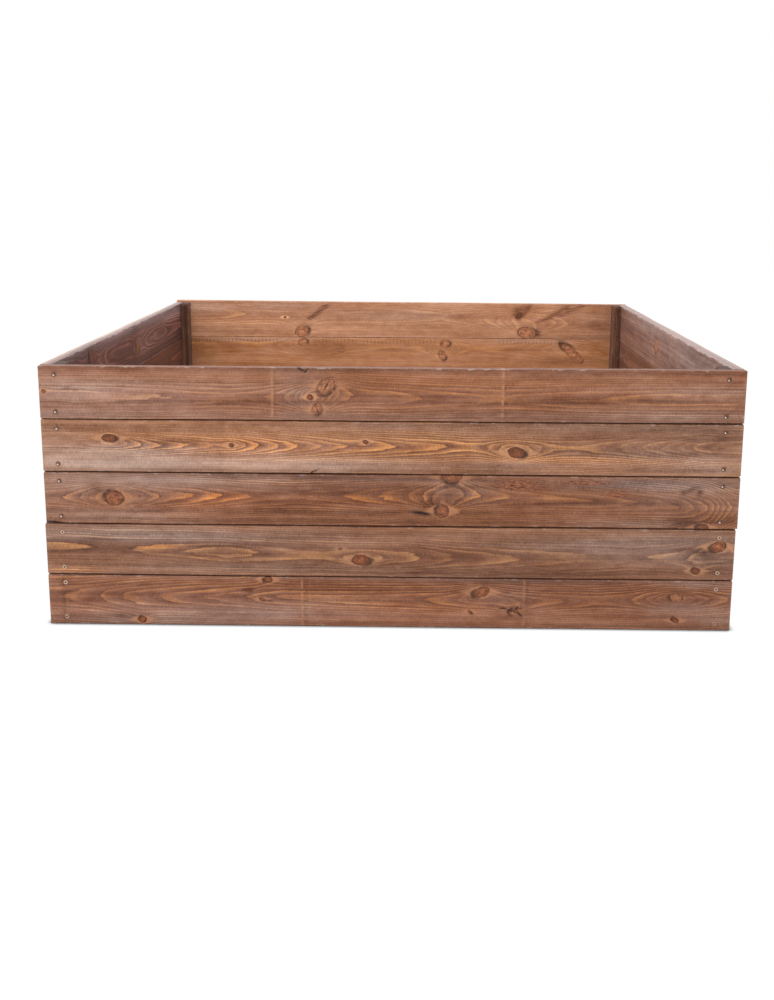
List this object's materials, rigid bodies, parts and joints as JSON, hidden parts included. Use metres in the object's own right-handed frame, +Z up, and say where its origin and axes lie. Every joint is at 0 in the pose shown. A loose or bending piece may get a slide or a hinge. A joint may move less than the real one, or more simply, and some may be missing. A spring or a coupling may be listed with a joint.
{
  "type": "planter box",
  "caption": "Square open-topped timber planter: horizontal boards screwed to battens inside the corners, with an open bottom; stands on the ground and holds soil.",
  "frame": {"origin": "centre of the footprint, on the ground", "axes": "+Z up; -Y towards the front, whose boards cover the ends of the side boards; +X to the right when facing the front"},
  "size_m": [1.2, 1.2, 0.46],
  "materials": {
    "stained_pine_board": "translucent brown stain, planed, satin",
    "stained_pine_post": "translucent dark brown stain, planed, satin",
    "yellow_zinc_screw": "yellow zinc plated steel"
  },
  "bodies": {
    "root": {"back_board_1": "stained_pine_board", "back_board_2": "stained_pine_board", "back_board_3": "stained_pine_board", "back_board_4": "stained_pine_board", "back_board_5": "stained_pine_board", "back_left_post": "stained_pine_post", "back_right_post": "stained_pine_post", "back_screw_5_left_lower": "yellow_zinc_screw", "back_screw_5_left_upper": "yellow_zinc_screw", "back_screw_5_right_lower": "yellow_zinc_screw", "back_screw_5_right_upper": "yellow_zinc_screw", "front_board_1": "stained_pine_board", "front_board_2": "stained_pine_board", "front_board_3": "stained_pine_board", "front_board_4": "stained_pine_board", "front_board_5": "stained_pine_board", "front_left_post": "stained_pine_post", "front_right_post": "stained_pine_post", "front_screw_1_left_lower": "yellow_zinc_screw", "front_screw_1_left_upper": "yellow_zinc_screw", "front_screw_1_right_lower": "yellow_zinc_screw", "front_screw_1_right_upper": "yellow_zinc_screw", "front_screw_2_left_lower": "yellow_zinc_screw", "front_screw_2_left_upper": "yellow_zinc_screw", "front_screw_2_right_lower": "yellow_zinc_screw", "front_screw_2_right_upper": "yellow_zinc_screw", "front_screw_3_left_lower": "yellow_zinc_screw", "front_screw_3_left_upper": "yellow_zinc_screw", "front_screw_3_right_lower": "yellow_zinc_screw", "front_screw_3_right_upper": "yellow_zinc_screw", "front_screw_4_left_lower": "yellow_zinc_screw", "front_screw_4_left_upper": "yellow_zinc_screw", "front_screw_4_right_lower": "yellow_zinc_screw", "front_screw_4_right_upper": "yellow_zinc_screw", "front_screw_5_left_lower": "yellow_zinc_screw", "front_screw_5_left_upper": "yellow_zinc_screw", "front_screw_5_right_lower": "yellow_zinc_screw", "front_screw_5_right_upper": "yellow_zinc_screw", "left_board_1": "stained_pine_board", "left_board_2": "stained_pine_board", "left_board_3": "stained_pine_board", "left_board_4": "stained_pine_board", "left_board_5": "stained_pine_board", "left_screw_5_back_lower": "yellow_zinc_screw", "left_screw_5_back_upper": "yellow_zinc_screw", "left_screw_5_front_lower": "yellow_zinc_screw", "left_screw_5_front_upper": "yellow_zinc_screw", "right_board_1": "stained_pine_board", "right_board_2": "stained_pine_board", "right_board_3": "stained_pine_board", "right_board_4": "stained_pine_board", "right_board_5": "stained_pine_board", "right_screw_5_back_lower": "yellow_zinc_screw", "right_screw_5_back_upper": "yellow_zinc_screw", "right_screw_5_front_lower": "yellow_zinc_screw", "right_screw_5_front_upper": "yellow_zinc_screw"}
  },
  "joints": []
}
